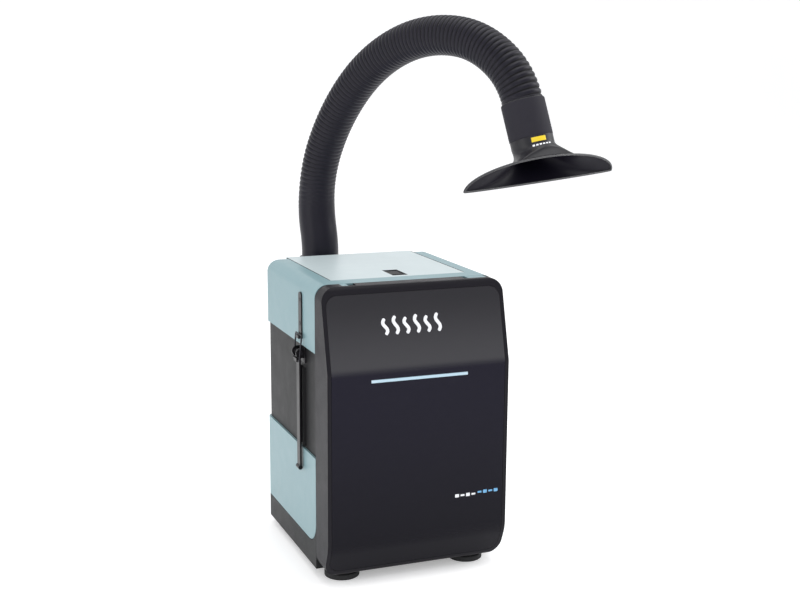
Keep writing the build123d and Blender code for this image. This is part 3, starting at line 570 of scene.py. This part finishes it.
def arm_line(distance):
    """Points, tangents and normals along tangent arcs, each a chord 2 l/t sin(t/2) long."""
    distance = np.atleast_1d(np.asarray(distance, float))
    starts = [ARM_START]
    angles = [pi / 2]
    for length, turn in zip(LENGTHS, TURNS):
        chord = 2 * length / turn * np.sin(turn / 2)
        starts.append(starts[-1] + chord * heading(np.array(angles[-1] - turn / 2)))
        angles.append(angles[-1] - turn)
    index = np.clip(np.searchsorted(KNOTS, distance, side="right") - 1, 0, len(LENGTHS) - 1)
    along = distance - KNOTS[index]
    rate = TURNS[index] / LENGTHS[index]
    bend = np.where(along < 0, 0.0, rate * along)
    chord = np.where(np.abs(bend) > 1e-9, 2 / rate * np.sin(bend / 2), along)
    start = np.array(starts)[index]
    angle = np.array(angles)[index]
    point = start + chord[:, None] * heading(angle - bend / 2)
    return point, heading(angle - bend), heading(angle - bend + pi / 2)


def pipe(distances, outer, inner, sides):
    """Closed wall round the arm's line: out along the outer radii, back along the inner ones."""
    turn = np.linspace(0, 2 * pi, sides, endpoint=False)
    point, _, normal = arm_line(distances)
    spoke = np.cos(turn)[None, :, None] * normal[:, None, :] + np.sin(turn)[None, :, None] * ACROSS
    outside = point[:, None, :] + outer(distances[:, None], turn[None, :])[..., None] * spoke
    inside = point[:, None, :] + inner * spoke
    return np.concatenate([outside, inside[::-1]], 0)


RIB_PITCH = 7.8 * MM
RIB_DEPTH = 2.9 * MM
RINGS_PER_RIB = 12
RIBS_FROM = 72.0 * MM


def groove(distance, turn):
    """Depth below the crests: (1 - |sin|^0.6) per pitch on a slow helix, shallow inside the bend.

    The depth grows from nothing on the upper part of the cuff to its full value further along.
    """
    lift = np.clip((distance - RIBS_FROM) / (95 * MM), 0, 1)
    lift = lift * np.clip((KNOTS[-1] - distance) / (3 * MM), 0, 1)
    outside = 0.45 + 0.55 * (0.5 + 0.5 * np.cos(turn))
    crest = np.abs(np.sin(pi * (distance - CUFF_END) / RIB_PITCH + turn / 2)) ** 0.6
    return RIB_DEPTH * lift * lift * (3 - 2 * lift) * outside * (1 - crest)


def ribbed(distance, turn):
    """Hose radius."""
    return HOSE_R - groove(distance, turn)


def cuff_radius(distance, turn):
    """Cuff radius: 0.8 mm over the hose, running down to it at the upper end, ribs fading in."""
    over = np.clip((CUFF_END - distance) / (70 * MM), 0, 1)
    return HOSE_R + 0.8 * MM * over * over * (3 - 2 * over) - groove(distance, turn)


def mark_crests(piece, distances, sides):
    """Store how high each point of a pipe stands: 1 on a crest, 0 at the bottom of a full groove."""
    turn = np.linspace(0, 2 * pi, sides, endpoint=False)
    sunk = groove(distances[:, None], turn[None, :]) / (RIB_DEPTH * 0.8)
    crest = np.concatenate([1 - np.clip(sunk, 0, 1), np.ones_like(sunk)], 0)
    # The hose finish paints shade into the grooves from this value.
    layer = piece.data.attributes.new("crest", "FLOAT", "POINT")
    layer.data.foreach_set("value", crest.astype(np.float32).ravel())


cuff_rings = np.linspace(CUFF_FROM, CUFF_END, 214)
cuff = surface("lower_cuff_skin", [pipe(cuff_rings, cuff_radius, CUFF_BORE_R, SIDES)], HOSE)
mark_crests(cuff, cuff_rings, SIDES)
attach(cuff, "arm_1")
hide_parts("lower_cuff")

middles = (KNOTS[2:-2] + KNOTS[3:-1]) / 2
cuts = np.concatenate([[CUFF_END], middles, [KNOTS[-1]]])
SOFT_HALF = 36.0 * MM
for number in range(1, len(middles) + 2):
    low, high = cuts[number - 1], cuts[number]
    rings = np.linspace(low, high, int(round((high - low) / RIB_PITCH * RINGS_PER_RIB)) + 1)
    piece = surface(f"hose_{number}", [pipe(rings, ribbed, HOSE_BORE_R, SIDES)], HOSE)
    mark_crests(piece, rings, SIDES)
    point, tangent, _ = arm_line(KNOTS[number + 1])
    start = Vector(point[0] - SOFT_HALF * tangent[0])
    end = Vector(point[0] + SOFT_HALF * tangent[0])
    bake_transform(piece)
    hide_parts(f"hose_span_{number}", f"hose_bend_{number}")
    if number == 5:
        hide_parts("hose_span_6")

# ---------------------------------------------------------------- nozzle
NECK_R = 33.2 * MM
NECK_LEN = 72.0 * MM
MOUTH_AT = 123.6 * MM
MOUTH_HALF_W = 158.0 * MM
MOUTH_FRONT = 41.5 * MM
MOUTH_REAR = 2.6 * MM
MOUTH_TILT = radians(50)
NOZZLE_TURN = radians(8.5)
NOZZLE_WALL = 2.2 * MM
SHELL_FROM = 1.4 * MM
BORE_FROM = 38.0 * MM
SLEEVE_END = 59.0 * MM
SPIGOT_GAP = 2.0 * MM
LIP_R = 1.7 * MM

hose_end, nozzle_axis, nozzle_rise = (v[0] for v in arm_line(KNOTS[-1]))
wide_0 = np.cross(nozzle_axis, nozzle_rise)
WIDE = wide_0 * np.cos(NOZZLE_TURN) + np.cross(nozzle_axis, wide_0) * np.sin(NOZZLE_TURN)
DEEP = np.cross(nozzle_axis, WIDE)


def nozzle_points(step, turn, inset=0.0):
    """Funnel surface: below 0 the round neck; from 0 to 1 each section swells, tips and flattens.

    Width grows with 1 - cos^1.2 and sin^2 of pi times the reach, distance along the axis with sin;
    the rear side sinks to a straight lip.
    """
    step, turn = np.broadcast_arrays(np.asarray(step, float), np.asarray(turn, float))
    part = np.clip(step, 0, 1)
    reach = np.sin(part * pi / 2)
    swell = 1 - np.maximum(np.cos(part * pi / 2), 0) ** 1.2
    along = np.where(step < 0, NECK_LEN * (1 + step), NECK_LEN + (MOUTH_AT - NECK_LEN) * reach)
    spread = 6 * MM * np.sin(pi * reach) ** 2
    half_w = NECK_R + (MOUTH_HALF_W - NECK_R) * swell + spread - inset
    front = NECK_R + (MOUTH_FRONT - NECK_R) * reach + 0.3 * spread - inset
    rear = NECK_R + (MOUTH_REAR - NECK_R) * reach - inset * (1 - 0.6 * reach)
    tilt = MOUTH_TILT * reach
    sine = np.sin(turn)
    depth = np.where(sine < 0, front, rear) * sine
    across = half_w * np.cos(turn)
    point = hose_end + along[..., None] * nozzle_axis + across[..., None] * WIDE
    return point + depth[..., None] * (
        np.cos(tilt)[..., None] * DEEP + np.sin(tilt)[..., None] * nozzle_axis
    )


def nozzle_grid(sides=192):
    """Closed shell: outside from the neck to the mouth, over the lip, and back inside."""
    turn = np.linspace(0, 2 * pi, sides, endpoint=False)[None, :]
    neck = np.linspace(-1 + SHELL_FROM / NECK_LEN, 0, 16, endpoint=False)[:, None]
    flare = (np.linspace(0, 1, 64) ** 0.8)[:, None]
    outside = np.concatenate([nozzle_points(neck, turn), nozzle_points(flare, turn)], 0)
    inner_neck = np.linspace(-1 + BORE_FROM / NECK_LEN, 0, 8, endpoint=False)[:, None]
    inner_rows = np.concatenate([inner_neck, flare], 0)
    inside = nozzle_points(inner_rows, turn, NOZZLE_WALL)
    socket_rows = np.concatenate([inner_neck[:1], neck[:1]], 0)
    socket = nozzle_points(socket_rows, turn, SPIGOT_GAP)
    return np.concatenate([outside, inside[::-1], socket], 0), len(outside)


shell, inside_from = nozzle_grid()
# The inside of the funnel takes the darker copy of the black as painted shade.
nozzle = surface("nozzle_shell", [shell], NOZZLE, inner_finish=NOZZLE_INSIDE_SHADE, inner_from=inside_from)
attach(nozzle, "nozzle")
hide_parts("nozzle")


def lip_ring(radius, sides=288, around=14):
    """Rolled lip: a round bead carried along the mouth's edge."""
    turn = np.linspace(0, 2 * pi, sides, endpoint=False)
    edge = nozzle_points(1.0, turn, NOZZLE_WALL / 2)
    ahead = np.roll(edge, -1, 0) - np.roll(edge, 1, 0)
    ahead = ahead / np.linalg.norm(ahead, axis=1, keepdims=True)
    side = np.cross(ahead, np.cos(MOUTH_TILT) * nozzle_axis - np.sin(MOUTH_TILT) * DEEP)
    side = side / np.linalg.norm(side, axis=1, keepdims=True)
    upright = np.cross(side, ahead)
    roll = np.linspace(0, 2 * pi, around, endpoint=False)[None, :, None]
    spoke = np.cos(roll) * side[:, None, :] + np.sin(roll) * upright[:, None, :]
    return edge[:, None, :] + radius * spoke


lip = surface("nozzle_lip", [lip_ring(LIP_R)], LIP)
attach(lip, "nozzle")


def neck_sleeve(sides=128):
    """Soft sleeve over the neck: even wall with a rolled edge at each end."""
    turn = np.linspace(0, 2 * pi, sides, endpoint=False)[None, :]
    along = np.linspace(1.5 * MM, SLEEVE_END, 48)
    roll = np.minimum(along - along[0], along[-1] - along) / (1.6 * MM)
    lift = 0.45 * MM * np.sqrt(np.clip(roll, 0, 1))
    outer = nozzle_points((along / NECK_LEN - 1)[:, None], turn, -lift[:, None] - 0.05 * MM)
    inner = nozzle_points((along / NECK_LEN - 1)[:, None], turn, 0.1 * MM)
    return np.concatenate([outer, inner[::-1]], 0)


sleeve = surface("nozzle_sleeve", [neck_sleeve()], CUFF)
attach(sleeve, "nozzle")


# ---------------------------------------------------------------- printed marks
def strip(centre, across, out, half_w, lift=0.02 * MM, thick=0.16 * MM):
    """Ribbon along a row of points: half width times sqrt(1 - t^20) at its ends, a little proud."""
    count = len(centre)
    t = np.linspace(-1, 1, count)
    wide = (half_w * np.sqrt(np.clip(1 - np.abs(t) ** 20, 0, 1)))[:, None]
    low = centre + lift * out
    high = centre + (lift + thick) * out
    side = wide * across
    return np.stack([low - side, low + side, high + side, high - side], 1)


slope = np.array([0.0, SLOPE_TOP_Y - RIDGE_Y, TOP_Z - RIDGE_Z])
slope = slope / np.linalg.norm(slope)
slope_out = np.array([0.0, -slope[2], slope[1]])


def on_slope(x, z):
    """Points on the front's upper slope."""
    y = RIDGE_Y + (z - RIDGE_Z) * slope[1] / slope[2]
    return np.stack(np.broadcast_arrays(x, y, z), -1)


def fume_line(x, low, high, sway, half_w):
    """Rising fume line: a sine across its height, drawn as a ribbon square to its own run."""
    t = np.linspace(0, 1, 61)
    centre = on_slope(x + sway * np.sin(2 * pi * t), low + (high - low) * t)
    run = np.gradient(centre, axis=0)
    across = np.cross(run, slope_out)
    across = across / np.linalg.norm(across, axis=1, keepdims=True)
    return strip(centre, across, slope_out, half_w)


fumes = [
    fume_line((-52 + 17.4 * n) * MM, 396 * MM, (420 + 3 * (n % 2)) * MM, 3.4 * MM, 2.7 * MM)
    for n in range(6)
]
fume_mark = surface("fume_mark", fumes, WHITE_INK, False, True, weld=True)
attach(fume_mark, "housing")


DASH_PITCH = 9.4


def front_dash(x0, x1, z, half_h):
    """Level dash on the lower front, which leans back a little towards its foot."""
    x = np.linspace(x0, x1, 25) * MM
    y = panel_low.y + PANEL_LEAN * (RIDGE_Z - z * MM) / (RIDGE_Z - PANEL_FOOT_Z)
    centre = np.stack([x, np.full_like(x, y), np.full_like(x, z * MM)], -1)
    return strip(centre, np.array([0.0, 0.0, 1.0]), np.array([0.0, -1.0, 0.0]), half_h * MM)


def dash_row(x0, z, first):
    """Four dashes from x0, by turns high and low."""
    return [
        front_dash(x0 + DASH_PITCH * n, x0 + 7 + DASH_PITCH * n, z, 1.5 + 1.2 * ((n + first) % 2))
        for n in range(4)
    ]


white_dashes = dash_row(61, 129.5, 1)
blue_dashes = dash_row(100, 131.5, 0)
for name, dashes, ink in (
    ("light_mark_white", white_dashes, WHITE_INK),
    ("light_mark_blue", blue_dashes, BLUE_INK),
):
    mark = surface(name, dashes, ink, False, True, weld=True)
    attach(mark, "housing")


PRINT_LIFT = 0.06 * MM
PRINT_THICK = 0.2 * MM


def station(along):
    """Step of the funnel that lies a number of millimetres along the nozzle's axis."""
    past = along * MM - NECK_LEN
    return past / NECK_LEN if past < 0 else 2 / pi * np.arcsin(past / (MOUTH_AT - NECK_LEN))


def nozzle_plate(along_0, along_1, turn_0, turn_1, lines=16, rows=10):
    """Thin curved plate on the nozzle's outside, between two stations and two turns in degrees."""
    rim = np.linspace(radians(turn_0), radians(turn_1), lines)[:, None]
    step = np.linspace(station(along_0), station(along_1), rows)[None, :]
    low = nozzle_points(step, rim, -PRINT_LIFT)
    high = nozzle_points(step, rim, -PRINT_LIFT - PRINT_THICK)
    return np.concatenate([low, high[::-1]], 0)


patch = [nozzle_plate(61.5, 68.5, -84.0, -44.0)]
yellow = surface("nozzle_label", patch, YELLOW_INK, True, False)
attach(yellow, "nozzle")
block_turns = [-96 + 9.2 * n for n in range(6)]
blocks = [nozzle_plate(72.6, 77.6, turn, turn + 6.2, 8, 6) for turn in block_turns]
block_mark = surface("nozzle_mark", blocks, WHITE_INK, True, False)
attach(block_mark, "nozzle")

# ---------------------------------------------------------------- painted shade in the seams beside the lid
lid_low, lid_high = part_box("lid")
SEAM_SHADE_HALF_W = 0.85 * MM
SEAM_SHADE_DEPTH = 0.9 * MM
SEAM_SHADE_H = 0.97 * MM
seam_shade_x = lid_high.x + 0.2 * MM
seam_shade_rear = JOINTS["lid_hinge"]["pos_m"][1] - 8 * MM


def seam_shade_strip(side):
    """Dark strip that fills the gap at one side of the lid, a hair above the shell: painted shade
    for the seam.
    """
    t = np.linspace(0, 1, 40)[:, None]
    start = np.array([side * seam_shade_x, lid_low.y, TOP_Z])
    end = np.array([side * seam_shade_x, seam_shade_rear, TOP_Z])
    centre = start * (1 - t) + end * t
    across = np.array([1.0, 0.0, 0.0])
    return strip(centre, across, UP, SEAM_SHADE_HALF_W, -SEAM_SHADE_DEPTH, SEAM_SHADE_H)


seam_shades = [seam_shade_strip(side) for side in (-1, 1)]
# Painted shade: dark strips in the gaps beside the lid stand in for the seams' shade.
lid_seam_shade = surface("lid_seam_shade", seam_shades, RUBBER, False, True, weld=True)
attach(lid_seam_shade, "lid")

# ---------------------------------------------------------------- floor, light and camera
def stage_floor():
    """Seamless studio sweep: level floor that curves up into a wall behind the object."""
    curve = np.linspace(0.1, pi / 2, 12)
    reach = np.concatenate([np.linspace(-9, 4, 14), 4 + 2 * np.sin(curve), [6.0, 6.0]])
    rise = np.concatenate([np.zeros(14), 2 - 2 * np.cos(curve), [4.0, 9.0]])
    x = np.linspace(-12, 12, 9)[:, None]
    return np.stack(np.broadcast_arrays(x, reach[None, :], rise[None, :]), -1)


finish = Finish(
    "pale_sweep",
    Roughness=0.9,
    Specular_IOR_Level=0.1,
    Emission_Color=(1.0, 1.0, 1.0, 1.0),
    Emission_Strength=0.34,
)
finish.put("Base Color", finish.mixed(finish.noise(3.0), (0.90, 0.90, 0.90), (0.93, 0.93, 0.93)))
sweep = surface("studio_sweep", [stage_floor()[:, ::-1]], finish.material, False, False)


def soft_light(name, place, target, size, power, colour=(1.0, 1.0, 1.0)):
    """Large rectangular lamp that looks at a target."""
    lamp = bpy.data.lights.new(name, "AREA")
    lamp.shape = "RECTANGLE"
    lamp.size, lamp.size_y = size
    lamp.energy = power
    lamp.color = colour
    holder = bpy.data.objects.new(name, lamp)
    bpy.context.scene.collection.objects.link(holder)
    aim = Vector(target) - Vector(place)
    holder.rotation_euler = aim.to_track_quat("-Z", "Y").to_euler()
    holder.location = place


soft_light("top_light", (0.2, -0.2, 2.6), (0.0, 0.0, 0.4), (2.2, 2.2), 30)
soft_light("left_light", (-2.4, -0.6, 1.3), (0.0, 0.0, 0.4), (1.6, 2.0), 17, (1.0, 0.99, 0.98))
soft_light("right_light", (2.3, -0.5, 1.7), (0.0, 0.0, 0.5), (1.4, 1.8), 26)
soft_light("front_light", (-0.9, -2.9, 2.0), (0.0, 0.0, 0.5), (1.8, 1.2), 12, (0.96, 0.97, 1.0))

world = bpy.data.worlds.new("studio")
world.use_nodes = True
world.node_tree.nodes["Background"].inputs["Color"].default_value = (0.95, 0.96, 0.98, 1.0)
world.node_tree.nodes["Background"].inputs["Strength"].default_value = 0.62
bpy.context.scene.world = world

YAW = radians(21.47)
PITCH = radians(-11.01)
ROLL = radians(0.34)
look = Vector((np.sin(YAW) * np.cos(PITCH), np.cos(YAW) * np.cos(PITCH), np.sin(PITCH)))
level = Vector((np.cos(YAW), -np.sin(YAW), 0.0))
upward = level.cross(look)
right = level * np.cos(ROLL) + upward * np.sin(ROLL)
top = upward * np.cos(ROLL) - level * np.sin(ROLL)
lens = bpy.data.cameras.new("camera")
lens.sensor_width = 36.0
lens.lens = 58.34
camera = bpy.data.objects.new("camera", lens)
bpy.context.scene.collection.objects.link(camera)
turn = Matrix((right, top, -look)).transposed().to_4x4()
camera.matrix_world = Matrix.Translation((-0.7355, -1.9660, 0.8239)) @ turn
bpy.context.scene.camera = camera
bpy.context.scene.view_settings.view_transform = "Standard"
